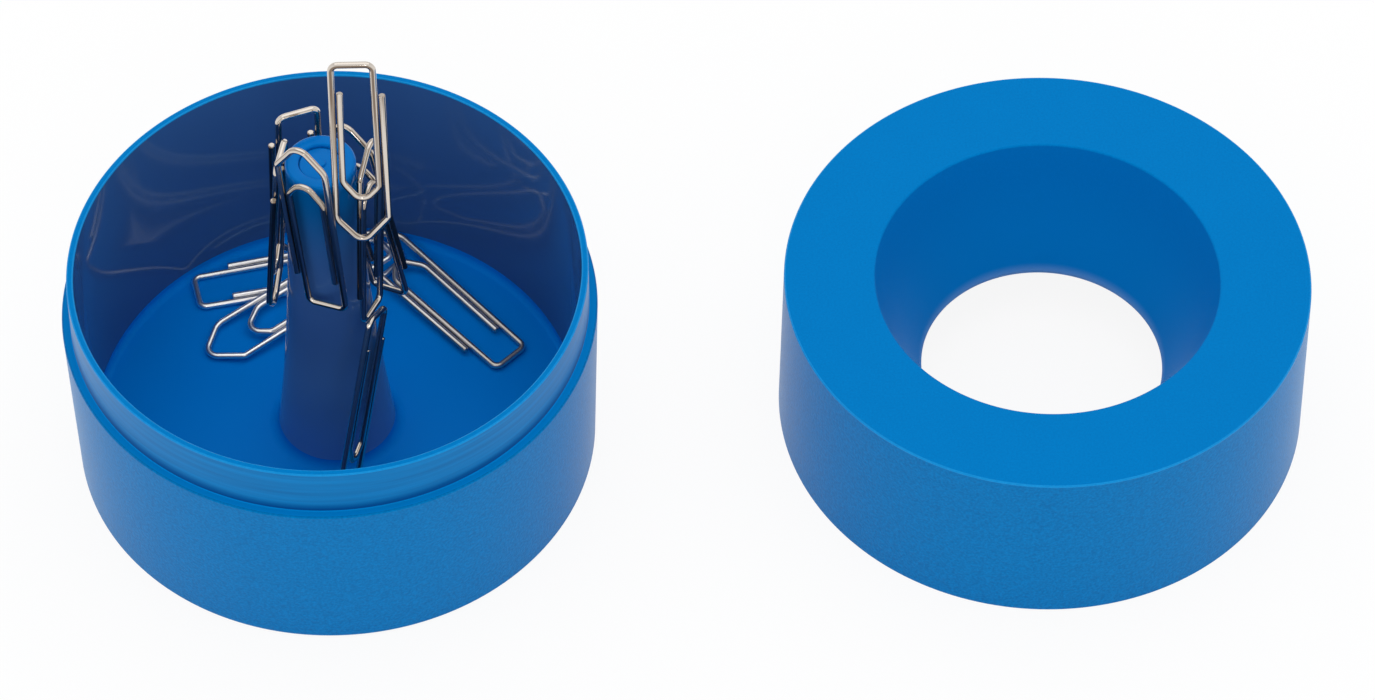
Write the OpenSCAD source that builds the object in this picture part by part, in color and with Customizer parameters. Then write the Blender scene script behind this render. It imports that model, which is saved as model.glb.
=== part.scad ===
// Magnetic paper clip holder: a round cup with a magnet post in its middle, the funnel lid
// standing beside it, and the paper clips that hang on the post or lie on the cup's floor.
// Millimetres, +Z up. The cup stands on z = 0 with its axis on the origin.

/* [Cup] */
// Diameter over the shoulder, where lid and cup meet
joint_d = 73; // [70:0.5:90]
// How much smaller the foot is than the shoulder, on the radius
cup_taper = 0.65; // [0.2:0.05:1.5]
// Height of the shoulder that carries the lid
shoulder_z = 27.8; // [22:0.1:34]
// Width of the shoulder
shoulder_w = 1.15; // [0.9:0.05:1.6]
// Height of the lip above the shoulder
lip_h = 7.8; // [4:0.1:9]
// Thickness of the lip
lip_t = 0.95; // [0.7:0.05:1.4]
// Thickness of the floor
floor_t = 2; // [1.5:0.1:3]
// How much smaller the bowl is at the floor than at the lip, on the radius
bowl_taper = 0.8; // [0.2:0.05:1.2]
// Rounding between bowl wall and floor
bowl_round = 1; // [0.4:0.1:1.6]
// Rounding of the foot edge
foot_round = 0.6; // [0.2:0.1:1.2]
// Rounding of the shoulder and lip edges
edge_round = 0.25; // [0.1:0.05:0.4]

/* [Magnet post] */
// Height of the top of the post
post_z = 58; // [54:0.5:64]
// Diameter of the top of the post
post_d = 9.5; // [8.5:0.1:10]
// Draft of the post in degrees
post_draft = 0.5; // [0.2:0.1:1]
// Extra radius that the flare of the post reaches at the floor
flare_r = 3; // [1:0.1:3.2]
// Height of the flare
flare_h = 55; // [20:1:56]
// Rounding of the top edge
post_round = 0.4; // [0.1:0.05:0.6]
// Diameter of the hollow under the magnet, at its upper end
hollow_d = 4.4; // [2.5:0.1:5]
// Narrowing of the hollow from top to bottom, on the diameter
hollow_taper = 0.8; // [0.2:0.1:1.5]
// Height of the hollow's bottom
hollow_z = 4; // [2:0.5:20]

/* [Magnet and cap] */
// Diameter of the magnet
magnet_d = 5.7; // [4:0.1:6.2]
// Length of the magnet
magnet_l = 10; // [5:0.5:14]
// Thickness of the cap over the magnet
cap_t = 1.2; // [0.8:0.1:2]
// Depth of the cap below the rim of the post
cap_sink = 0.5; // [0.2:0.1:1]
// Diameter of the nub in the middle of the cap
nub_d = 1.5; // [0.8:0.1:2.5]
// Height of the nub
nub_h = 0.3; // [0.1:0.05:0.6]
// Play round magnet and cap in their pocket, on the radius
pocket_play = 0.05; // [0.02:0.01:0.12]

/* [Lid] */
// Height of the lid
lid_h = 27.3; // [24:0.1:34]
// How much smaller the lid is at the top than at the joint, on the radius
lid_taper = 0.42; // [0.1:0.02:1.2]
// Thickness of the lid's wall above the rebate
lid_wall = 2.1; // [1.6:0.1:3]
// Thickness of the lid's top
lid_top_t = 2; // [1.2:0.1:3]
// Rounding of the outer top edge
lid_round = 0.8; // [0.3:0.1:1.5]
// Play between lip and rebate, on the radius and on the height
lid_play = 0.25; // [0.1:0.05:0.4]
// Diameter of the funnel at the top
mouth_d = 47.4; // [40:0.2:54]
// Diameter of the hole at the foot of the funnel
hole_d = 33.4; // [28:0.2:38]
// Height of the hole above the lid's foot
hole_z = 8; // [5:0.1:12]
// Thickness of the funnel
funnel_t = 1.8; // [1.2:0.1:2.4]
// Where the lid stands beside the cup
lid_at = [98, 5.2, 0]; // [-150:0.1:150]

/* [Paper clip] */
// Diameter of the wire
wire_d = 0.9; // [0.8:0.02:0.92]
// How much thicker the wire is in its bends
swell = 0.03; // [0.02:0.005:0.05]
// Length over all
clip_l = 30.5; // [29:0.1:31]
// Width of the squared end over all
square_w = 6.38; // [6.3:0.02:6.44]
// Width of the pointed end over all
point_w = 7.84; // [7.76:0.02:7.96]
// How far the pointed end lies to the left of the squared one
point_side = 0.07; // [0.05:0.01:0.12]
// How much further to the left its tip lies
tip_side = 0.18; // [0:0.02:0.4]
// Width of the inner loop over all
inner_w = 5.68; // [5.2:0.02:5.7]
// How far the inner loop lies to the right
inner_side = 0.06; // [0.03:0.01:0.07]
// Angle between the sides of the outer point and the length of the clip, in degrees
point_a = 38; // [34:0.5:44]
// Distance from the outer point to the inner one
inner_gap = 6.8; // [6:0.1:9]
// Angle between the sides of the inner point and the length of the clip, in degrees
inner_a = 41; // [36:0.5:44]
// How much higher the left shoulder of the inner loop lies than the right one
inner_rise = 0.95; // [0:0.05:1.5]
// Distance from the squared end to the inner end of the wire
end_in = 4.7; // [3:0.1:8]
// Distance from the squared end to the outer end of the wire
end_out = 5.1; // [3:0.1:8]
// How far the inner end of the wire leans away from the leg beside it
lean_in = 0.5; // [0.35:0.05:0.8]
// How far the outer end of the wire leans away from the leg beside it
lean_out = 0.3; // [0.2:0.02:0.4]
// Radius of the bends at the squared end, along the middle of the wire
square_r = 1; // [0.7:0.05:1.3]
// Radius of the two points
point_r = 1.5; // [1:0.05:1.7]
// Radius of the left shoulder of the inner loop
inner_left_r = 2.2; // [0.8:0.1:2.6]
// Radius of the right shoulder of the inner loop
inner_right_r = 1.4; // [0.8:0.1:1.8]
// Radius of the left shoulder of the outer loop
left_shoulder_r = 2.5; // [0.8:0.1:2.8]
// Radius of the right shoulder of the outer loop
right_shoulder_r = 0.9; // [0.8:0.1:2.8]

/* [Clips on the post] */
// Standing on the front: distance from the edge of the post, height over its top
clip_01_at = [1.9, 6.5]; // [-40:0.1:40]
// Angle round the post, then turn in its own plane, lean and heading, in degrees
clip_01_turn = [-36, 1.5, -10, -54]; // [-180:0.5:200]
// Behind the post: distance and height
clip_02_at = [2.3, -11.6]; // [-40:0.1:40]
// Its four angles, in degrees
clip_02_turn = [122, 2, -2, -10]; // [-180:0.5:200]
// On the left: distance and height
clip_03_at = [1.6, -13.4]; // [-40:0.1:40]
// Its four angles, in degrees
clip_03_turn = [184, 3, -4, -14]; // [-180:0.5:200]
// On the front left, point up: distance and height
clip_04_at = [1.3, -6.8]; // [-40:0.1:40]
// Its four angles, in degrees
clip_04_turn = [-101, 187, -2, -12]; // [-180:0.5:200]
// On the right, point up: distance and height
clip_05_at = [1.7, -12.3]; // [-40:0.1:40]
// Its four angles, in degrees
clip_05_turn = [-12, 171, -2, -10]; // [-180:0.5:200]
// On the back right, point up: distance and height
clip_06_at = [2.4, -15.2]; // [-40:0.1:40]
// Its four angles, in degrees
clip_06_turn = [38.5, 167, 2, 20]; // [-180:0.5:200]

/* [Clips on the floor] */
// Leaning on the post: distance from the edge of the post, height over the floor
clip_07_at = [5.1, 13.9]; // [0:0.1:40]
// Its four angles, in degrees
clip_07_turn = [-65.5, -27, 0, 43.5]; // [-180:0.5:200]
// Flat at the back left: distance from the wall of the bowl, height over the floor
clip_08_at = [6.9, 0.15]; // [0:0.05:40]
// Its four angles, in degrees
clip_08_turn = [103.5, 0, -90, -89.5]; // [-180:0.5:200]
// Across the one before, its point on the floor: distance and height
clip_09_at = [12.4, 1.6]; // [0:0.05:40]
// Its four angles, in degrees
clip_09_turn = [107.5, 0, -84.5, 109.5]; // [-180:0.5:200]
// Flat at the back right, its squared end on the floor: distance and height
clip_10_at = [8.5, 0.95]; // [0:0.05:40]
// Its four angles, in degrees
clip_10_turn = [57.5, 0, -93, 77.5]; // [-180:0.5:200]

/* [Hidden] */
$fn = 96;
blue = [0.02, 0.42, 0.72];
steel = [0.75, 0.74, 0.72];
joint_r = joint_d / 2;
foot_r = joint_r - cup_taper;
lip_r = joint_r - shoulder_w;
lip_z = shoulder_z + lip_h;
bowl_top_r = lip_r - lip_t;
bowl_r = bowl_top_r - bowl_taper;
post_r = post_d / 2;
post_h = post_z - floor_t - post_round;
pocket_r = magnet_d / 2 + pocket_play;
cap_z = post_z - cap_sink - cap_t;
magnet_z = cap_z - magnet_l;
hollow_r = hollow_d / 2;
hollow_low_r = (hollow_d - hollow_taper) / 2;
flare_steps = 14;
mouth_r = mouth_d / 2;
hole_r = hole_d / 2;
funnel_a = atan((mouth_r - hole_r) / (lid_h - hole_z));
funnel_x = funnel_t / cos(funnel_a);
lid_top_r = joint_r - lid_taper;
lid_in_r = joint_r - lid_wall;
rebate_r = lip_r + lid_play;
rebate_z = lip_h + lid_play;
under_z = lid_h - lid_top_t;
half_l = (clip_l - wire_d) / 2;
half_sq = (square_w - wire_d) / 2;
half_pt = (point_w - wire_d) / 2;
half_in = (inner_w - wire_d) / 2;
point_y = -half_l - point_r * (1 / sin(point_a) - 1);
shoulder_y = point_y + half_pt / tan(point_a);
inner_y = inner_gap - half_l - point_r * (1 / sin(inner_a) - 1);
inner_shoulder_y = inner_y + half_in / tan(inner_a);
floor_clip_z = floor_t + wire_d / 2;
bend_lap = 0.1;

// Points along an arc, from one angle to another
function arc(c, r, a0, a1, n = 6) =
  [for (i = [0:n]) c + r * [cos(a0 + (a1 - a0) * i / n), sin(a0 + (a1 - a0) * i / n)]];

// Radius of the post at a height
function post_at(z) =
  post_r + (post_z - z) * tan(post_draft)
  + flare_r * pow(max(0, 1 - (z - floor_t) / flare_h), 2);

// Half section of cup and post, from the foot round the outside and down into the pocket
cup_section = concat(
  [[0, 0]],
  arc([foot_r - foot_round, foot_round], foot_round, -90, 0),
  arc([joint_r - edge_round, shoulder_z - edge_round], edge_round, 0, 90, 4),
  [[lip_r, shoulder_z]],
  arc([lip_r - edge_round, lip_z - edge_round], edge_round, 0, 90, 4),
  arc([bowl_top_r + edge_round, lip_z - edge_round], edge_round, 90, 180, 4),
  arc([bowl_r - bowl_round, floor_t + bowl_round], bowl_round, 0, -90),
  [for (i = [0:flare_steps - 1]) let (z = floor_t + post_h * i / flare_steps) [post_at(z), z]],
  arc([post_r - post_round, post_z - post_round], post_round, 0, 90, 4),
  [[pocket_r, post_z], [pocket_r, magnet_z], [hollow_r, magnet_z]],
  [[hollow_low_r, hollow_z], [0, hollow_z]]
);

// Half section of the lid, from its foot up the outside and down the funnel
lid_section = concat(
  [[rebate_r, 0]],
  arc([joint_r - edge_round, edge_round], edge_round, -90, 0, 4),
  arc([lid_top_r - lid_round, lid_h - lid_round], lid_round, 0, 90),
  [[mouth_r + edge_round, lid_h]],
  [[mouth_r - edge_round * sin(funnel_a), lid_h - edge_round * cos(funnel_a)]],
  arc([hole_r + funnel_x / 2, hole_z], funnel_t / 2, 180 - funnel_a, 360 - funnel_a, 8),
  [[mouth_r + funnel_x - lid_top_t * tan(funnel_a), under_z]],
  [[lid_in_r, under_z], [lid_in_r, rebate_z], [rebate_r, rebate_z]]
);

// Corners of the clip's wire in its own plane, from the inner end to the outer end
clip_path = [
  [inner_side - half_in + lean_in, half_l - end_in],
  [inner_side - half_in, inner_shoulder_y + inner_rise],
  [inner_side, inner_y],
  [inner_side + half_in, inner_shoulder_y],
  [half_sq, half_l],
  [-half_sq, half_l],
  [-point_side - half_pt, shoulder_y],
  [-point_side - tip_side, point_y],
  [half_pt - point_side, shoulder_y],
  [half_pt - point_side + lean_out, half_l - end_out]
];
bends = [
  0, inner_left_r, point_r, inner_right_r, square_r, square_r,
  left_shoulder_r, point_r, right_shoulder_r, 0
];
last = len(clip_path) - 1;

function heading(i) =
  atan2(clip_path[i + 1][1] - clip_path[i][1], clip_path[i + 1][0] - clip_path[i][0]);
function sweep(i) = (heading(i) - heading(i - 1) + 720) % 360;
function cut(i) = i == 0 || i == last ? 0 : bends[i] * tan(sweep(i) / 2);
function lap(i) = i == 0 || i == last ? 0 : bend_lap;
function leg_l(i) =
  norm(clip_path[i + 1] - clip_path[i]) - cut(i) - cut(i + 1) + lap(i) + lap(i + 1);

// One straight stretch of wire, its ends set a little way into the bends
module leg(i) {
  translate([clip_path[i][0], clip_path[i][1], 0])
    rotate([0, 0, heading(i)])
      translate([cut(i) - lap(i), 0, 0])
        rotate([0, 90, 0])
          cylinder(d = wire_d - swell, h = leg_l(i));
}

// One bend of wire
module bend(i) {
  translate([clip_path[i][0], clip_path[i][1], 0])
    rotate([0, 0, heading(i - 1)])
      translate([-cut(i), bends[i], 0])
        rotate([0, 0, -90])
          rotate_extrude(angle = sweep(i))
            translate([bends[i], 0])
              circle(d = wire_d);
}

// A paper clip standing upright, squared end up, its face towards +X
module clip() {
  color(steel)
    rotate([90, 0, 90])
      union() {
        for (i = [0:last - 1]) leg(i);
        for (i = [1:last - 1]) bend(i);
      }
}

// A clip at a distance from the axis and a height, then turned round the post by its first angle
module clip_at(radius, height, turn) {
  rotate([0, 0, turn[0]])
    translate([radius, 0, height])
      rotate([turn[1], turn[2], turn[3]])
        clip();
}

module post_clip(at, turn) {
  clip_at(post_r + at[0], post_z + at[1], turn);
}

module leaning_clip(at, turn) {
  clip_at(post_r + at[0], floor_t + at[1], turn);
}

module floor_clip(at, turn) {
  clip_at(bowl_r - at[0], floor_clip_z + at[1], turn);
}

module base_cup() {
  color(blue)
    rotate_extrude()
      polygon(cup_section);
}

module post_magnet() {
  color(steel)
    translate([0, 0, magnet_z])
      cylinder(d = magnet_d, h = magnet_l);
}

module post_cap() {
  color(blue)
    translate([0, 0, cap_z])
      union() {
        cylinder(d = magnet_d, h = cap_t);
        cylinder(d = nub_d, h = cap_t + nub_h);
      }
}

module lid() {
  color(blue)
    translate(lid_at)
      rotate_extrude()
        polygon(lid_section);
}

module paper_clip_01() { post_clip(clip_01_at, clip_01_turn); }
module paper_clip_02() { post_clip(clip_02_at, clip_02_turn); }
module paper_clip_03() { post_clip(clip_03_at, clip_03_turn); }
module paper_clip_04() { post_clip(clip_04_at, clip_04_turn); }
module paper_clip_05() { post_clip(clip_05_at, clip_05_turn); }
module paper_clip_06() { post_clip(clip_06_at, clip_06_turn); }
module paper_clip_07() { leaning_clip(clip_07_at, clip_07_turn); }
module paper_clip_08() { floor_clip(clip_08_at, clip_08_turn); }
module paper_clip_09() { floor_clip(clip_09_at, clip_09_turn); }
module paper_clip_10() { floor_clip(clip_10_at, clip_10_turn); }

base_cup();
post_magnet();
post_cap();
lid();
paper_clip_01();
paper_clip_02();
paper_clip_03();
paper_clip_04();
paper_clip_05();
paper_clip_06();
paper_clip_07();
paper_clip_08();
paper_clip_09();
paper_clip_10();
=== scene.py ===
# %% [markdown]
# # A magnetic paper clip holder
# The real thing is a round blue cup with a post in its middle. A magnet in the top of the post
# holds paper clips upright, and a lid with a funnel in it, here standing beside the cup, closes
# it. The CAD model already holds every size. This lesson gives each piece its surface: smooth
# turned meshes for the mouldings, swept wire for the clips, and a finish for each face.

# %% Load the frame
import math

import bmesh
import bpy
from mathutils import Euler, Matrix, Vector


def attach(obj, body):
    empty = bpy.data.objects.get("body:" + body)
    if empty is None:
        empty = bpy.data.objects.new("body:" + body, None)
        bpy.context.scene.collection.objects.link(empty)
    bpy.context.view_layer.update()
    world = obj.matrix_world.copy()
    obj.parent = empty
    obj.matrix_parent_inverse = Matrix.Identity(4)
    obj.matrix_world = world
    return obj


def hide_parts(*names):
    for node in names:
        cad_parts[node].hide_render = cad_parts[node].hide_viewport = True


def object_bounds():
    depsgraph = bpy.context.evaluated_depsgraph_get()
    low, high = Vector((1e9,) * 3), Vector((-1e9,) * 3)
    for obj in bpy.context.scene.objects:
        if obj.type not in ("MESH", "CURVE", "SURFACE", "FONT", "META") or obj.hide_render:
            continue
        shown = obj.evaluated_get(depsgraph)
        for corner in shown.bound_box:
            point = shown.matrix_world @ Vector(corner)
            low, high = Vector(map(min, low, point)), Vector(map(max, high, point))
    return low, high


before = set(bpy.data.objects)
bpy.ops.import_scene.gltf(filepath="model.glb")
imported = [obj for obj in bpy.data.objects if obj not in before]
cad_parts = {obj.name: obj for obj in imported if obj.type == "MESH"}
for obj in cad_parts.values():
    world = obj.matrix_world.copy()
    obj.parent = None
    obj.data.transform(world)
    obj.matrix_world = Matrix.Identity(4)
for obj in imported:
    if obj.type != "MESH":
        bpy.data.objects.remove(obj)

cad_low, cad_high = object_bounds()
MM = 0.001
print("CAD box in mm:", [round(side / MM, 1) for side in cad_high - cad_low])

# %% [markdown]
# ## The camera
# The photograph looks down on the holder steeply, from far away with a long lens, so that the
# round rims are clean ellipses. A camera fitted to those rims stands 0.92 m off and looks
# down at 52 degrees. Setting it up first means that every later picture can be compared.

# %% Camera
SENSOR, LENS = 36, 172.55
NEAR_CLIP = 0.05
CAMERA_AT = (48.73, -563.13, 727.48)
TILT = 38.43
camera_data = bpy.data.cameras.new("photo_camera")
camera_data.sensor_width = SENSOR
camera_data.lens = LENS
camera_data.clip_start = NEAR_CLIP
camera = bpy.data.objects.new("photo_camera", camera_data)
camera.location = [side * MM for side in CAMERA_AT]
camera.rotation_euler = (math.radians(TILT), 0, 0)
bpy.context.scene.collection.objects.link(camera)
bpy.context.scene.camera = camera
print("camera looks down at", round(90 - TILT, 1), "degrees")

# %% [markdown]
# ## Nodes with less typing
# Every finish below is a small network of nodes. Typing out each node's inputs takes many lines,
# so one helper makes a node, sets its inputs and links what feeds it.


# %% Helpers for nodes
def colour(red, green, blue):
    """A colour read off a screen, 0 to 255, as the linear values that shaders take."""
    parts = [part / 255 for part in (red, green, blue)]
    linear = [p / 12.92 if p < 0.04045 else ((p + 0.055) / 1.055) ** 2.4 for p in parts]
    return (*linear, 1)


def add_node(tree, kind, inputs=(), **settings):
    """A new node. An input is a value, or another node's output socket, which is linked."""
    node = tree.nodes.new(kind)
    for key, value in settings.items():
        setattr(node, key, value)
    for key, value in dict(inputs).items():
        if isinstance(value, bpy.types.NodeSocket):
            tree.links.new(value, node.inputs[key])
        else:
            node.inputs[key].default_value = value
    return node


def start_finish(name):
    """A new material, its node tree and its main shader."""
    material = bpy.data.materials.new(name)
    material.use_nodes = True
    return material, material.node_tree, material.node_tree.nodes["Principled BSDF"]


def remap(tree, value, low, high):
    """A texture's 0 to 1, squeezed into the range from low to high."""
    node = add_node(
        tree, "ShaderNodeMapRange", {"Value": value, "To Min": low, "To Max": high}
    )
    return node.outputs["Result"]


# %% [markdown]
# ## Light
# The photograph was taken in an even, white tent of light: tops and outer walls are nearly the
# same blue, and only what looks straight up, the bowl and the funnel, falls into shade. So the
# sky is bright all round, dims a little towards its top, and is brighter in front than behind.
# A wide lamp overhead whitens the upper side of the clips on the floor, and a small one in
# front adds a few glints. An image of a real studio would do as well, but needs a file.

# %% World and lamps
# Height in the sky, from 0 straight down to 1 straight up, and the brightness there.
SKY = [(0.66, 1.00), (0.80, 0.92), (0.90, 0.80), (1.00, 0.75)]
FRONT, BACK = 1.08, 0.82
world = bpy.data.worlds.new("light_tent")
world.use_nodes = True
bpy.context.scene.world = world
tree = world.node_tree
direction = add_node(tree, "ShaderNodeTexCoord").outputs["Generated"]
towards = add_node(tree, "ShaderNodeSeparateXYZ", {"Vector": direction}).outputs
share = add_node(tree, "ShaderNodeMapRange", {"Value": towards["Z"], "From Min": -1})
ramp = add_node(tree, "ShaderNodeValToRGB", {"Fac": share.outputs["Result"]})
stops = ramp.color_ramp.elements
ready_stops = len(stops)
for index, (place, level) in enumerate(SKY):
    stop = stops[index] if index < ready_stops else stops.new(place)
    stop.position = place
    stop.color = (level, level, level, 1)
depth = add_node(
    tree,
    "ShaderNodeMapRange",
    {"Value": towards["Y"], "From Min": -1, "To Min": FRONT, "To Max": BACK},
)
background = tree.nodes["Background"]
tree.links.new(ramp.outputs["Color"], background.inputs["Color"])
tree.links.new(depth.outputs["Result"], background.inputs["Strength"])


def softbox(name, place, aim, size, watts):
    """A square lamp with a soft edge to its shadows, turned towards a point."""
    data = bpy.data.lights.new(name, "AREA")
    data.size = size
    data.energy = watts
    lamp = bpy.data.objects.new(name, data)
    lamp.location = place
    lamp.rotation_euler = (Vector(aim) - Vector(place)).to_track_quat("-Z", "Y").to_euler()
    bpy.context.scene.collection.objects.link(lamp)
    return lamp


middle = (cad_low + cad_high) / 2
softbox("lamp_overhead", (middle.x, 0.25, 0.9), middle, size=1.2, watts=2.8)
softbox("lamp_front", (middle.x, -0.82, 0.6), middle, size=0.15, watts=0.6)
print("sky steps:", len(SKY), "and two lamps")

# %% [markdown]
# ## The floor
# The holder stands on white paper with no edge or horizon in view, so one wide square will do.
# Paper under a soft light renders a pale grey. More light would whiten it, but would bleach the
# holder too. So the paper glows for the camera and in reflections only, and lights nothing itself.
# A trace of the holder's shadow stays.

# %% Floor
FLOOR_HALF = 4
FLOOR_DROP = 0.05 * MM
PAPER_WHITE = (0.95, 0.95, 0.95, 1)
PAPER_ROUGH = (0.85, 0.95)
FIBRE_SCALE = 900
GLOW = 0.9
floor_mesh = bpy.data.meshes.new("floor")
corners = [(x * FLOOR_HALF, y * FLOOR_HALF, 0) for x, y in ((-1, -1), (1, -1), (1, 1), (-1, 1))]
floor_mesh.from_pydata(corners, [], [(0, 1, 2, 3)])
floor = bpy.data.objects.new("floor", floor_mesh)
floor.location.z = cad_low.z - FLOOR_DROP
bpy.context.scene.collection.objects.link(floor)

paper, tree, shader = start_finish("floor_paper")
spot = add_node(tree, "ShaderNodeTexCoord").outputs["Object"]
fibre = add_node(
    tree, "ShaderNodeTexNoise", {"Vector": spot, "Scale": FIBRE_SCALE, "Detail": 4}
)
shader.inputs["Base Color"].default_value = PAPER_WHITE
shader.inputs["Specular IOR Level"].default_value = 0
tree.links.new(remap(tree, fibre.outputs["Fac"], *PAPER_ROUGH), shader.inputs["Roughness"])
white = add_node(tree, "ShaderNodeEmission", {"Color": (1, 1, 1, 1), "Strength": 1})
path = add_node(tree, "ShaderNodeLightPath").outputs
seen = add_node(
    tree,
    "ShaderNodeMath",
    {0: path["Is Camera Ray"], 1: path["Is Glossy Ray"]},
    operation="MAXIMUM",
)
seen = add_node(
    tree,
    "ShaderNodeMath",
    {0: seen.outputs[0], 1: path["Is Transmission Ray"]},
    operation="MAXIMUM",
)
glow = add_node(tree, "ShaderNodeMath", {0: seen.outputs[0], 1: GLOW}, operation="MULTIPLY")
mix = add_node(
    tree,
    "ShaderNodeMixShader",
    {"Fac": glow.outputs[0], 1: shader.outputs[0], 2: white.outputs[0]},
)
tree.links.new(mix.outputs[0], tree.nodes["Material Output"].inputs["Surface"])
floor_mesh.materials.append(paper)
print("floor at z =", round(floor.location.z / MM, 2), "mm")

# %% [markdown]
# ## Blue plastic in ten finishes
# Cup and lid are moulded from one blue plastic, but the mould was not the same all over. The
# outside was spark-eroded to a matte grain, the lip shows the fine rings of a lathe, the bowl and
# the post were polished, and the floor of the bowl is satin. The matte grain scatters light at a
# slant, which is why the walls look paler towards their sides: a little sheen does it. Each finish
# also has light and shade painted into its blue. The walls and the funnel are painted a shade
# darker than the top, the ledge and the floor of the bowl a little lighter. The bowl and the post
# are painted navy, as painted shade and dark reflection, and the post is painted paler towards its
# foot, a painted reflection of the floor, and bluer towards its top, where the painted shade
# thins.
# Edges carry a painted highlight, paler than the faces beside them, and the lip is painted darker
# towards the shoulder, as painted shade in the corner. Ten materials made by hand would drift
# apart, so one function makes them all.

# %% Blue plastic
FLOOR_Z = 2
BLUE = (colour(0, 108, 178), colour(0, 128, 203))
# Painted shade: the walls and the lip get a darker copy of the top's blue.
WALL_BLUE_PAINTED_SHADE = (colour(0, 102, 166), colour(0, 122, 190))
CAP_BLUE = (colour(0, 104, 187), colour(0, 112, 197))
# Painted light: the floor of the bowl gets a lighter blue, against the shade inside the bowl.
FLOOR_BLUE_PAINTED_LIGHT = (colour(0, 126, 221), colour(0, 132, 229))
# Painted shade: the funnel gets a darker copy of the top's blue.
FUNNEL_BLUE_PAINTED_SHADE = (colour(0, 104, 178), colour(0, 110, 187))
# Painted light: the ledge beside the lip gets a lighter blue, against the lip's shade on it.
LEDGE_BLUE_PAINTED_LIGHT = (colour(0, 128, 203), colour(0, 134, 210))
# Painted highlight: a paler blue for rounded edges.
EDGE_BLUE_PAINTED_HIGHLIGHT = (colour(4, 126, 198), colour(26, 142, 212))
# Painted shade for the corner where the lip meets the shoulder.
SHADE_BLUE = colour(0, 68, 134)
# Painted reflection of the white floor on the funnel's edge round the hole.
PAINTED_FLOOR_REFLECTION_BLUE = colour(114, 162, 217)
# Painted light: the funnel gets lighter towards the hole.
LOW_FUNNEL_PAINTED_LIGHT = colour(0, 127, 203)
# Painted shade and dark reflection: the polished bowl and post get a navy copy of the blue.
NAVY_PAINTED_SHADE = (colour(46, 83, 140), colour(52, 89, 148))
BOWL_NAVY_PAINTED_SHADE = (colour(48, 88, 144), colour(54, 94, 152))
# Painted reflection of the floor: the post's foot gets a paler navy.
LOW_NAVY_PAINTED_REFLECTION = colour(80, 136, 198)
# Painted shade, thinner near the top of the post: a clearer navy blue.
TOP_NAVY_PAINTED_SHADE = colour(0, 78, 138)
GLOSS_TINT = (0.1, 0.72, 1, 1)
SHEEN_ROUGH = 0.33
GRAIN_LOW, GRAIN_HIGH = 0.3, 0.7
CLOUD_SCALE, CLOUD_RANGE = 180, (0.4, 0.6)
SWELL_SCALE, SWELL_FLAT = 150, 0.3


def add_relief(tree, height, depth, below=None):
    """A bump of some depth in mm, on top of another bump where one is given."""
    inputs = {"Height": height, "Distance": depth * MM, "Strength": 1}
    if below:
        inputs["Normal"] = below
    return add_node(tree, "ShaderNodeBump", inputs).outputs["Normal"]


def blue_plastic(
    name, shades, grain, depth, rough, specular, speckle=0, sheen=0, flat=1, wave=0, painted_shading=()
):
    """Sizes are in mm, and rough is a lowest and highest value. Specks follow the grain.

    A low value of flat draws the grain out into level rings. Each entry of painted_shading paints
    light and shade by height: the height where its shade is full, the height where it has gone,
    and the shade.
    """
    material, tree, shader = start_finish(name)
    spot = add_node(tree, "ShaderNodeTexCoord").outputs["Object"]
    turned = add_node(tree, "ShaderNodeMapping", {"Vector": spot, "Scale": (flat, flat, 1)})
    fine = add_node(
        tree,
        "ShaderNodeTexNoise",
        {"Vector": turned.outputs[0], "Scale": 1 / (grain * MM), "Detail": 3},
    ).outputs["Fac"]
    cloud = add_node(
        tree, "ShaderNodeTexNoise", {"Vector": spot, "Scale": CLOUD_SCALE, "Detail": 2}
    )
    grains = add_node(
        tree, "ShaderNodeMapRange", {"Value": fine, "From Min": GRAIN_LOW, "From Max": GRAIN_HIGH}
    )
    specks = add_node(
        tree,
        "ShaderNodeMix",
        {
            "Factor": speckle,
            "A": remap(tree, cloud.outputs["Fac"], *CLOUD_RANGE),
            "B": grains.outputs["Result"],
        },
    )
    tint = add_node(
        tree,
        "ShaderNodeMix",
        {"Factor": specks.outputs["Result"], "A": shades[0], "B": shades[1]},
        data_type="RGBA",
    )
    # Each entry paints light and shade along the height of the piece.
    for full, gone, shade in painted_shading:
        height = add_node(tree, "ShaderNodeSeparateXYZ", {"Vector": spot}).outputs["Z"]
        unpainted_share = add_node(
            tree,
            "ShaderNodeMapRange",
            {"Value": height, "From Min": full * MM, "From Max": gone * MM},
            interpolation_type="SMOOTHSTEP",
        )
        tint = add_node(
            tree,
            "ShaderNodeMix",
            {"Factor": unpainted_share.outputs["Result"], "A": shade, "B": tint.outputs["Result"]},
            data_type="RGBA",
        )
    tree.links.new(tint.outputs["Result"], shader.inputs["Base Color"])
    tree.links.new(remap(tree, fine, *rough), shader.inputs["Roughness"])
    shader.inputs["Specular IOR Level"].default_value = specular
    shader.inputs["Specular Tint"].default_value = GLOSS_TINT
    shader.inputs["Sheen Weight"].default_value = sheen
    shader.inputs["Sheen Roughness"].default_value = SHEEN_ROUGH
    relief = add_relief(tree, fine, depth)
    if wave:
        level = add_node(
            tree, "ShaderNodeMapping", {"Vector": spot, "Scale": (SWELL_FLAT, SWELL_FLAT, 1)}
        )
        swell = add_node(
            tree,
            "ShaderNodeTexNoise",
            {"Vector": level.outputs[0], "Scale": SWELL_SCALE, "Detail": 1},
        )
        relief = add_relief(tree, swell.outputs["Fac"], wave, relief)
    tree.links.new(relief, shader.inputs["Normal"])
    return material


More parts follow.
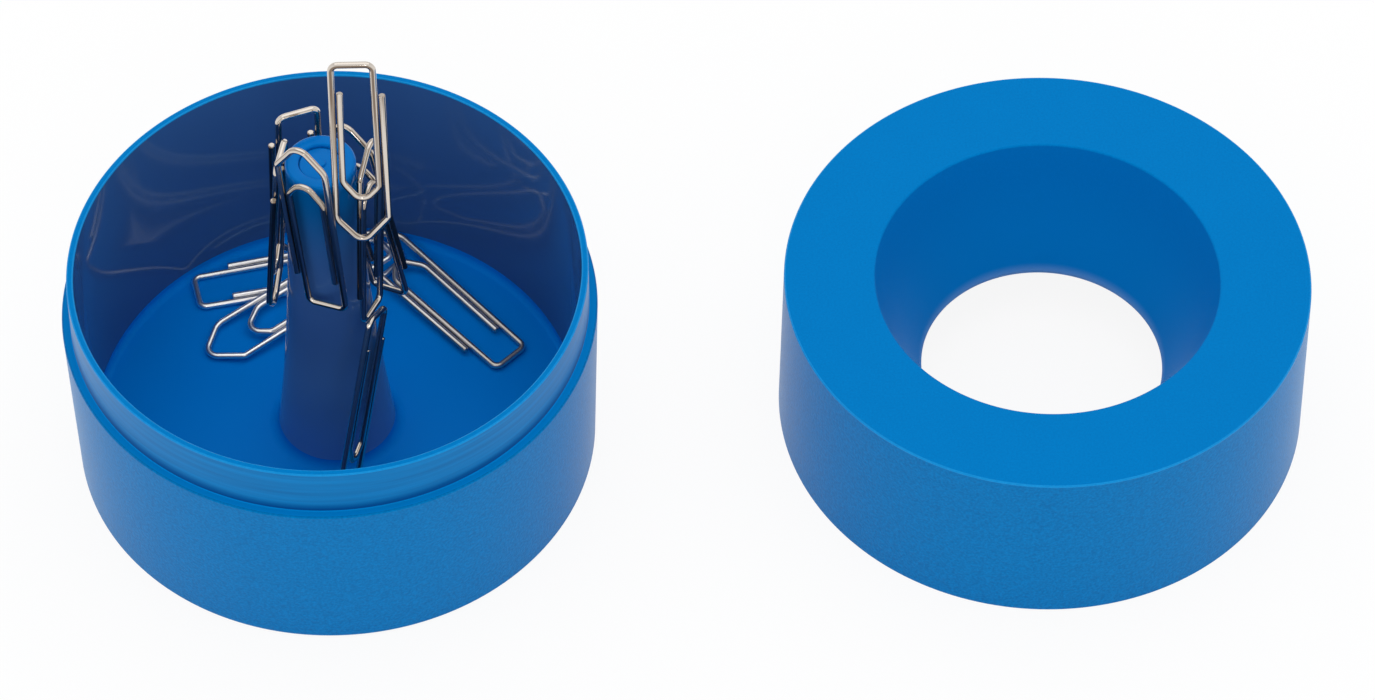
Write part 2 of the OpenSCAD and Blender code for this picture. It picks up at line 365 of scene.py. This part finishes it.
# Painted reflection of the floor, paler at the post's foot; thinner painted shade near its top.
POST_PAINTED_SHADING = (
    (FLOOR_Z, 30, LOW_NAVY_PAINTED_REFLECTION),
    (FLOOR_Z, 3.4, FLOOR_BLUE_PAINTED_LIGHT[0]),
    (56, 38, TOP_NAVY_PAINTED_SHADE),
    (57.6, 56.2, CAP_BLUE[0]),
)
# Painted shade in the corner: the lip darkens towards the shoulder.
LIP_PAINTED_SHADE = ((27.6, 30.2, SHADE_BLUE),)
# Painted light towards the hole, then a painted reflection of the white floor round it.
FUNNEL_PAINTED_LIGHT = ((8.5, 27, LOW_FUNNEL_PAINTED_LIGHT), (7.3, 9.5, PAINTED_FLOOR_REFLECTION_BLUE))
# Each row holds a name, the shades, grain, depth, rough and specular, and then what is special.
FINISHES = {
    "wall": blue_plastic(
        "blue_spark_wall_painted_shade", WALL_BLUE_PAINTED_SHADE, 0.38, 0.035, (0.5, 0.62), 0.06, speckle=0.95, sheen=0.33
    ),
    "top": blue_plastic(
        "blue_fine_top", BLUE, 0.3, 0.02, (0.5, 0.62), 0.05, speckle=0.35, sheen=0.05
    ),
    "funnel": blue_plastic(
        "blue_fine_funnel_painted_light_and_shade",
        FUNNEL_BLUE_PAINTED_SHADE,
        0.3,
        0.01,
        (0.5, 0.62),
        0.05,
        speckle=0.6,
        painted_shading=FUNNEL_PAINTED_LIGHT,
    ),
    "edge": blue_plastic("blue_edge_painted_highlight", EDGE_BLUE_PAINTED_HIGHLIGHT, 0.3, 0.003, (0.25, 0.35), 0.4, speckle=0.6),
    "ledge": blue_plastic("blue_ledge_painted_light", LEDGE_BLUE_PAINTED_LIGHT, 0.3, 0.004, (0.4, 0.5), 0.06),
    "lip": blue_plastic(
        "blue_lip_painted_shade",
        WALL_BLUE_PAINTED_SHADE,
        0.7,
        0.006,
        (0.34, 0.44),
        0.12,
        speckle=0.95,
        sheen=0.14,
        flat=0.03,
        painted_shading=LIP_PAINTED_SHADE,
    ),
    "bowl": blue_plastic("blue_bowl_painted_shade", BOWL_NAVY_PAINTED_SHADE, 0.5, 0.0003, (0.05, 0.09), 0.14, wave=0.0035),
    "post": blue_plastic(
        "blue_post_painted_shade_and_reflection", NAVY_PAINTED_SHADE, 0.5, 0.0003, (0.06, 0.12), 0.22, wave=0.003, painted_shading=POST_PAINTED_SHADING
    ),
    "satin": blue_plastic("blue_satin_painted_light", FLOOR_BLUE_PAINTED_LIGHT, 0.3, 0.002, (0.26, 0.34), 0.06),
    "cap": blue_plastic("blue_cap", CAP_BLUE, 0.3, 0.0005, (0.12, 0.2), 0.22),
}
print("blue finishes:", ", ".join(FINISHES))

# %% [markdown]
# ## Corners that are never sharp
# Nothing moulded has a knife edge, and wire bends in an arc. Both the sections of the mouldings
# and the wire of a clip are drawn as corners with a radius, and one helper puts the arcs in.


# %% Rounded corners
def round_corners(corners, steps=6):
    """Corners are (across, up, radius, tag). The result holds (point, tag), arcs included."""
    rounded = []
    for index, (across, up, radius, tag) in enumerate(corners):
        here = Vector((across, up))
        if not radius:
            rounded.append((here, tag))
            continue
        back = (Vector(corners[index - 1][:2]) - here).normalized()
        ahead = (Vector(corners[(index + 1) % len(corners)][:2]) - here).normalized()
        half_angle = back.angle(ahead) / 2
        centre = here + (back + ahead).normalized() * radius / math.sin(half_angle)
        first = here + back * radius / math.tan(half_angle) - centre
        final = here + ahead * radius / math.tan(half_angle) - centre
        before = corners[index - 1][3]
        for step in range(steps + 1):
            tag_here = before if step < steps else tag
            rounded.append((centre + first.slerp(final, step / steps) * radius, tag_here))
    return rounded


# %% [markdown]
# ## Turning a section into a moulding
# Cup, cap and lid are all round, so each is one section turned about its axis. Blender's Spin or
# Screw could do it. Writing the rings out by hand lets each stretch of the section carry its own
# finish, and the weighted normals keep flat faces flat beside their rounded edges.

# %% Lathe
SIDES = 192
ON_AXIS = 1e-6


def lathe(name, corners, closed=False, centre=(0, 0)):
    """A mesh turned from corners in mm. The tag of a corner is the finish that starts there."""
    section = round_corners(corners)
    mesh = bpy.data.meshes.new(name)
    build = bmesh.new()
    rings = []
    for point, _ in section:
        count = SIDES if point.x > ON_AXIS else 1
        turn = [2 * math.pi * side / SIDES for side in range(count)]
        rings.append(
            [
                build.verts.new(
                    (
                        (centre[0] + point.x * math.cos(a)) * MM,
                        (centre[1] + point.x * math.sin(a)) * MM,
                        point.y * MM,
                    )
                )
                for a in turn
            ]
        )
    finishes = sorted({tag for _, tag in section})
    for index in range(len(section) if closed else len(section) - 1):
        ring, above = rings[index], rings[(index + 1) % len(rings)]
        for side in range(SIDES):
            following = (side + 1) % SIDES
            if len(ring) == 1:
                face = build.faces.new((ring[0], above[following], above[side]))
            elif len(above) == 1:
                face = build.faces.new((ring[side], ring[following], above[0]))
            else:
                face = build.faces.new(
                    (ring[side], ring[following], above[following], above[side])
                )
            face.smooth = True
            face.material_index = finishes.index(section[index][1])
    bmesh.ops.recalc_face_normals(build, faces=build.faces)
    build.to_mesh(mesh)
    build.free()
    for tag in finishes:
        mesh.materials.append(FINISHES[tag])
    piece = bpy.data.objects.new(name, mesh)
    bpy.context.scene.collection.objects.link(piece)
    piece.modifiers.new("flat_faces", "WEIGHTED_NORMAL")
    print(name, "has", len(mesh.polygons), "faces in", len(finishes), "finishes")
    return piece


def dress(piece, body, node):
    """The piece stands for a CAD node, which it hides, and moves with its body."""
    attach(piece, body)
    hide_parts(node)


# %% [markdown]
# ## The cup and its post
# The cup's wall leans out a little, so that it leaves its mould. A shoulder carries the lid and a
# thin lip guides it. The post is one with the floor: it has half a degree of draft and spreads
# towards its foot along a parabola. Its top has a pocket for the magnet.

# %% Cup
JOINT_R, FOOT_R = 36.5, 35.85
SHOULDER_Z, LIP_Z = 27.8, 35.6
LIP_R, BOWL_TOP_R, BOWL_R = 35.35, 34.4, 33.6
FOOT_EDGE, SHOULDER_EDGE, GROOVE_ROUND = 0.6, 0.25, 0.15
BOWL_ROUND, RIM_ROUND, RIM_EDGE = 1, 0.2, 0.21
POST_Z, POST_R = 58, 4.75
POST_DRAFT = math.tan(math.radians(0.5))
FLARE_R, FLARE_H, FOOT_ROUND = 3, 55, 1.6
POST_EDGE, POCKET_EDGE = 0.4, 0.35
POCKET_R, HOLLOW_R, HOLLOW_LOW_R = 2.9, 2.2, 1.8
MAGNET_Z, HOLLOW_Z = 46.3, 4
SATIN_Z = FLOOR_Z + 1.5 * BOWL_ROUND
BOWL_DRAFT = (BOWL_TOP_R - BOWL_R) / (LIP_Z - FLOOR_Z)


def post_at(z):
    """Radius of the post at a height."""
    flare = FLARE_R * max(0, 1 - (z - FLOOR_Z) / FLARE_H) ** 2
    return POST_R + (POST_Z - z) * POST_DRAFT + flare


POST_RINGS = 24
post_side = [
    (post_at(z), z, FOOT_ROUND if z == FLOOR_Z else 0, "post")
    for z in (FLOOR_Z + (POST_Z - FLOOR_Z) * ring / POST_RINGS for ring in range(POST_RINGS))
]
cup = lathe(
    "cup_moulding",
    [
        (0, 0, 0, "wall"),
        (FOOT_R, 0, FOOT_EDGE, "wall"),
        (JOINT_R, SHOULDER_Z, SHOULDER_EDGE, "ledge"),
        (LIP_R, SHOULDER_Z, GROOVE_ROUND, "lip"),
        # The rim's two rounded edges take the edge finish, with its painted highlight.
        (LIP_R, LIP_Z - RIM_EDGE, 0, "edge"),
        (LIP_R, LIP_Z, RIM_ROUND, "top"),
        (BOWL_TOP_R + RIM_EDGE, LIP_Z, 0, "edge"),
        (BOWL_TOP_R, LIP_Z, RIM_ROUND, "bowl"),
        (BOWL_R + (SATIN_Z - FLOOR_Z) * BOWL_DRAFT, SATIN_Z, 0, "satin"),
        (BOWL_R, FLOOR_Z, BOWL_ROUND, "satin"),
        *post_side,
        (POST_R, POST_Z, POST_EDGE, "cap"),
        (POCKET_R, POST_Z, POCKET_EDGE, "cap"),
        (POCKET_R, MAGNET_Z, 0, "satin"),
        (HOLLOW_R, MAGNET_Z, 0, "satin"),
        (HOLLOW_LOW_R, HOLLOW_Z, 0, "satin"),
        (0, HOLLOW_Z, 0, "satin"),
    ],
)
dress(cup, "cup", "base_cup")

# %% [markdown]
# ## The cap over the magnet
# A small disc closes the pocket, half a millimetre below the rim, with a nub in its middle where
# the plastic flowed in. The magnet under it never shows, so its CAD solid stays as it is and only
# gets a brushed metal finish.

# %% Cap and magnet
CAP_R, CAP_LOW, CAP_TOP = 2.85, 56.3, 57.5
NUB_R, NUB_LEAN, NUB_TOP = 0.75, 0.1, 57.8
CAP_LOW_EDGE, CAP_EDGE = 0.1, 0.15
cap = lathe(
    "magnet_cap",
    [
        (0, CAP_LOW, 0, "cap"),
        (CAP_R, CAP_LOW, CAP_LOW_EDGE, "cap"),
        (CAP_R, CAP_TOP, CAP_EDGE, "cap"),
        (NUB_R, CAP_TOP, CAP_LOW_EDGE, "cap"),
        (NUB_R - NUB_LEAN, NUB_TOP, CAP_EDGE, "cap"),
        (0, NUB_TOP, 0, "cap"),
    ],
)
dress(cap, "cup", "post_cap")

MAGNET_GREY = (0.42, 0.42, 0.43, 1)
BRUSH_SCALE, BRUSH_STRETCH, BRUSH_ROUGH = 6000, (1, 1, 0.05), (0.28, 0.42)
metal, tree, shader = start_finish("magnet_metal")
spot = add_node(tree, "ShaderNodeTexCoord").outputs["Object"]
long_lines = add_node(tree, "ShaderNodeMapping", {"Vector": spot, "Scale": BRUSH_STRETCH})
brushed = add_node(
    tree,
    "ShaderNodeTexNoise",
    {"Vector": long_lines.outputs[0], "Scale": BRUSH_SCALE, "Detail": 3},
)
shader.inputs["Base Color"].default_value = MAGNET_GREY
shader.inputs["Metallic"].default_value = 1
tree.links.new(remap(tree, brushed.outputs["Fac"], *BRUSH_ROUGH), shader.inputs["Roughness"])
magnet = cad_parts["post_magnet"]
magnet.data.materials.clear()
magnet.data.materials.append(metal)

# %% [markdown]
# ## The lid
# The lid is a ring with a funnel that guides fingers to the clips. Its wall leans in a little,
# the outer top edge is crisp and catches a fine bright line, partly its own gloss and partly a
# painted highlight, and the funnel ends in a rounded lower edge round the hole. The funnel is
# painted lighter towards the hole, as painted light, and paler still round it, as a painted
# reflection of the white floor. Underneath it is hollow, with a step cut into the wall where the
# cup's lip goes.

# %% Lid
LID_H, LID_TOP_R, LID_IN_R = 27.3, 36.08, 34.4
LID_AT = (98, 5.2)
REBATE_R, REBATE_Z = 35.6, 8.05
UNDER_Z = 25.3
MOUTH_R, HOLE_R, HOLE_Z = 23.7, 16.7, 8
FUNNEL_SLOPE = math.atan((MOUTH_R - HOLE_R) / (LID_H - HOLE_Z))
FUNNEL_T = 1.8
FUNNEL_ACROSS = FUNNEL_T / math.cos(FUNNEL_SLOPE)


def funnel_at(z, outside=0):
    """Radius of the funnel at a height, on its inner face or its outer one."""
    return HOLE_R + (z - HOLE_Z) * math.tan(FUNNEL_SLOPE) + outside * FUNNEL_ACROSS


def lid_wall_at(z):
    """Radius of the lid's outside at a height."""
    return JOINT_R + (LID_TOP_R - JOINT_R) * z / LID_H


LOWEST = HOLE_Z - FUNNEL_T / 2
TOP_EDGE, TOP_ROUND, MOUTH_ROUND = 0.25, 0.22, 0.35
LID_FOOT_IN, LID_FOOT_OUT = 0.1, 0.25
HOLE_IN, HOLE_OUT = 0.85, 0.75
UNDER_ROUND, STEP_ROUND = 0.5, 0.15
lid = lathe(
    "lid_moulding",
    [
        (REBATE_R, 0, LID_FOOT_IN, "wall"),
        (JOINT_R, 0, LID_FOOT_OUT, "wall"),
        # The crisp top edge takes the edge finish, with its painted highlight.
        (lid_wall_at(LID_H - TOP_EDGE), LID_H - TOP_EDGE, 0, "edge"),
        (LID_TOP_R, LID_H, TOP_ROUND, "top"),
        (funnel_at(LID_H), LID_H, MOUTH_ROUND, "funnel"),
        (funnel_at(LOWEST), LOWEST, HOLE_IN, "funnel"),
        (funnel_at(LOWEST, 1), LOWEST, HOLE_OUT, "ledge"),
        (funnel_at(UNDER_Z, 1), UNDER_Z, UNDER_ROUND, "ledge"),
        (LID_IN_R, UNDER_Z, UNDER_ROUND, "ledge"),
        (LID_IN_R, REBATE_Z, STEP_ROUND, "ledge"),
        (REBATE_R, REBATE_Z, STEP_ROUND, "ledge"),
    ],
    closed=True,
    centre=LID_AT,
)
dress(lid, "lid", "lid")

# %% [markdown]
# ## Nickel wire
# The clips are drawn steel wire with a bright nickel coat. Nickel is a warm grey mirror, and
# drawing leaves fine lines along the wire, in its roughness and a faint bump. The brown and pale
# tones of the lines are painted reflection of the dark and bright things round the wire. The lines
# follow the wire through every bend, so the finish reads them from the wire's own map: along its
# length, and round it. The clips on the floor are duller than those on the post, and two of them
# are paler too, a painted highlight, so the same function makes two more finishes for them.

# %% Nickel finishes
LINE_STRETCH = (0.025, 6, 1)
LINE_BROWN, LINE_PALE = 0.39, 0.53
LINE_DEPTH = 0.002


def nickel_painted_reflections(name, brown, pale, rough):
    """Lines of two tones along the wire, as painted reflection. Rough is a lowest and highest
    value.
    """
    material, tree, shader = start_finish(name)
    along = add_node(tree, "ShaderNodeUVMap", uv_map="wire").outputs["UV"]
    stretched = add_node(tree, "ShaderNodeMapping", {"Vector": along, "Scale": LINE_STRETCH})
    lines = add_node(
        tree, "ShaderNodeTexNoise", {"Vector": stretched.outputs[0], "Scale": 1, "Detail": 3}
    ).outputs["Fac"]
    contrast = add_node(
        tree,
        "ShaderNodeMapRange",
        {"Value": lines, "From Min": LINE_BROWN, "From Max": LINE_PALE},
    )
    reflection_tone = add_node(
        tree,
        "ShaderNodeMix",
        {"Factor": contrast.outputs["Result"], "A": (*brown, 1), "B": (*pale, 1)},
        data_type="RGBA",
    )
    tree.links.new(reflection_tone.outputs["Result"], shader.inputs["Base Color"])
    shader.inputs["Metallic"].default_value = 1
    tree.links.new(remap(tree, lines, *rough), shader.inputs["Roughness"])
    tree.links.new(add_relief(tree, lines, LINE_DEPTH), shader.inputs["Normal"])
    return material


# The brown and pale tones are painted reflection of dark and bright surroundings.
BRIGHT = nickel_painted_reflections("bright_nickel", (0.22, 0.165, 0.125), (0.68, 0.62, 0.555), (0.06, 0.14))
DULL = nickel_painted_reflections("dull_nickel", (0.43, 0.39, 0.35), (0.72, 0.69, 0.65), (0.26, 0.36))
# Painted highlight: two clips on the floor get a near-white copy of the nickel.
PALE_NICKEL_PAINTED_HIGHLIGHT = nickel_painted_reflections("pale_nickel_painted_highlight", (0.74, 0.71, 0.67), (0.98, 0.97, 0.95), (0.26, 0.36))
print("nickel finishes:", BRIGHT.name, DULL.name, PALE_NICKEL_PAINTED_HIGHLIGHT.name)

# %% [markdown]
# ## One clip, bent from straight wire
# A clip of this pattern has a squared end and two pointed loops, one inside the other. The loops
# are not quite even: the inner one has a longer slope on the side of its free end, and the outer
# tip lies a little to that side too. The wire is drawn flat, as nine straight legs with a bend at
# each corner, and a ring of points is then swept along it. The cut ends have a small chamfer, as
# the shears leave them.

# %% Clip wire
WIRE_D, WIRE_R = 0.9, 0.445
END_CHAMFER = 0.12
CLIP_L, SQUARE_W, POINT_W, INNER_W = 30.5, 6.38, 7.84, 5.68
POINT_SIDE, TIP_SIDE, INNER_SIDE = -0.07, -0.25, 0.06
POINT_A, INNER_A = math.radians(38), math.radians(41)
INNER_GAP, INNER_RISE, END_IN, END_OUT = 6.8, 0.95, 4.7, 5.1
LEAN_IN, LEAN_OUT = 0.5, 0.3
SQUARE_BEND, POINT_BEND = 1, 1.5
INNER_LEFT_BEND, INNER_RIGHT_BEND = 2.2, 1.4
LEFT_BEND, RIGHT_BEND = 2.5, 0.9


def half(width):
    """From the middle of the clip to the middle of the wire."""
    return (width - WIRE_D) / 2


def point_corner(tip, angle):
    """Where the two sides of a point would meet, were its tip not rounded."""
    return tip - POINT_BEND * (1 / math.sin(angle) - 1)


END_Y = half(CLIP_L)
OUTER_X, INNER_X, SQUARE_X = half(POINT_W), half(INNER_W), half(SQUARE_W)
OUTER_Y, INNER_Y = point_corner(-END_Y, POINT_A), point_corner(INNER_GAP - END_Y, INNER_A)
OUTER_SHOULDER = OUTER_Y + OUTER_X / math.tan(POINT_A)
INNER_SHOULDER = INNER_Y + INNER_X / math.tan(INNER_A)
CLIP_CORNERS = [
    (INNER_SIDE - INNER_X + LEAN_IN, END_Y - END_IN, 0),
    (INNER_SIDE - INNER_X, INNER_SHOULDER + INNER_RISE, INNER_LEFT_BEND),
    (INNER_SIDE, INNER_Y, POINT_BEND),
    (INNER_SIDE + INNER_X, INNER_SHOULDER, INNER_RIGHT_BEND),
    (SQUARE_X, END_Y, SQUARE_BEND),
    (-SQUARE_X, END_Y, SQUARE_BEND),
    (POINT_SIDE - OUTER_X, OUTER_SHOULDER, LEFT_BEND),
    (TIP_SIDE, OUTER_Y, POINT_BEND),
    (POINT_SIDE + OUTER_X, OUTER_SHOULDER, RIGHT_BEND),
    (POINT_SIDE + OUTER_X + LEAN_OUT, END_Y - END_OUT, 0),
]
WIRE_SIDES = 20
BEND_STEPS = 12


def wire_rings():
    """Middle, direction, radius and length so far of each ring along the wire, in mm.

    Each cut end gets three rings close together, for its chamfer and for even shading behind it.
    """
    line = [point for point, _ in round_corners([(*c, 0) for c in CLIP_CORNERS], BEND_STEPS)]
    lead = (line[1] - line[0]).normalized() * END_CHAMFER
    trail = (line[-2] - line[-1]).normalized() * END_CHAMFER
    first = [line[0] + lead * step for step in range(3)]
    final = [line[-1] + trail * step for step in (2, 1, 0)]
    line = [*first, *line[1:-1], *final]
    run = 0
    rings = []
    for index, point in enumerate(line):
        back = line[max(index - 1, 0)]
        ahead = line[min(index + 1, len(line) - 1)]
        run += (point - back).length
        at_end = index in (0, len(line) - 1)
        radius = WIRE_R - END_CHAMFER if at_end else WIRE_R
        rings.append((point, (ahead - back).normalized(), radius, run))
    return rings


def clip_mesh(name, finish):
    """A clip standing upright, its face towards +X and its squared end up."""
    build = bmesh.new()
    wire_map = build.loops.layers.uv.new("wire")
    rings = []
    for point, heading, radius, run in wire_rings():
        ring = []
        for side in range(WIRE_SIDES):
            angle = 2 * math.pi * side / WIRE_SIDES
            sideways = radius * math.cos(angle)
            place = (
                radius * math.sin(angle),
                point.x - heading.y * sideways,
                point.y + heading.x * sideways,
            )
            ring.append(build.verts.new(Vector(place) * MM))
        rings.append((ring, run))
    for (ring, run), (above, run_above) in zip(rings, rings[1:]):
        for side in range(WIRE_SIDES):
            following = (side + 1) % WIRE_SIDES
            face = build.faces.new((ring[side], ring[following], above[following], above[side]))
            face.smooth = True
            turn, turn_after = side / WIRE_SIDES, (side + 1) / WIRE_SIDES
            spots = ((run, turn), (run, turn_after), (run_above, turn_after), (run_above, turn))
            for loop, spot in zip(face.loops, spots):
                loop[wire_map].uv = spot
    build.faces.new(rings[0][0])
    build.faces.new(rings[-1][0])
    bmesh.ops.recalc_face_normals(build, faces=build.faces)
    mesh = bpy.data.meshes.new(name)
    build.to_mesh(mesh)
    build.free()
    mesh.materials.append(finish)
    return mesh


wire_length = wire_rings()[-1][3]
print("one clip takes", round(wire_length, 1), "mm of wire")

# %% [markdown]
# ## Ten clips in their places
# Six clips stand or hang round the top of the post, held by the magnet, one leans on the post
# and three lie on the floor. Each place is a distance, a height and four angles: round the post,
# then the clip's own turn, lean and heading. A table of them is easier to read than ten objects
# moved by hand.

# %% Clips
CLIPS = [
    ("01", POST_R + 1.9, POST_Z + 6.5, (-36, 1.5, -10, -54)),
    ("02", POST_R + 2.3, POST_Z - 11.6, (122, 2, -2, -10)),
    ("03", POST_R + 1.6, POST_Z - 13.4, (184, 3, -4, -14)),
    ("04", POST_R + 1.3, POST_Z - 6.8, (-101, 187, -2, -12)),
    ("05", POST_R + 1.7, POST_Z - 12.3, (-12, 171, -2, -10)),
    ("06", POST_R + 2.4, POST_Z - 15.2, (38.5, 167, 2, 20)),
    ("07", POST_R + 5.1, FLOOR_Z + 13.9, (-65.5, -27, 0, 43.5)),
    ("08", BOWL_R - 6.9, FLOOR_Z + 0.6, (103.5, 0, -90, -89.5)),
    ("09", BOWL_R - 12.4, FLOOR_Z + 2.05, (107.5, 0, -84.5, 109.5)),
    ("10", BOWL_R - 8.5, FLOOR_Z + 1.4, (57.5, 0, -93, 77.5)),
]
# Two clips on the floor take the painted highlight of the pale nickel.
ON_FLOOR = {"08": PALE_NICKEL_PAINTED_HIGHLIGHT, "09": PALE_NICKEL_PAINTED_HIGHLIGHT, "10": DULL}
for number, distance, height, angles in CLIPS:
    around, *own = (math.radians(angle) for angle in angles)
    place = (
        Matrix.Rotation(around, 4, "Z")
        @ Matrix.Translation((distance * MM, 0, height * MM))
        @ Euler(own).to_matrix().to_4x4()
    )
    mesh = clip_mesh("clip_wire_" + number, ON_FLOOR.get(number, BRIGHT))
    mesh.transform(place)
    clip = bpy.data.objects.new("clip_wire_" + number, mesh)
    bpy.context.scene.collection.objects.link(clip)
    dress(clip, "clip_" + number, "paper_clip_" + number)
print(len(CLIPS), "clips placed")

# %% [markdown]
# ## The view transform
# The dressed model must not outgrow the CAD box, because the sizes belong to the CAD model.
# Standard view transform keeps the blues as they are written.

# %% View transform
bpy.context.scene.view_settings.view_transform = "Standard"
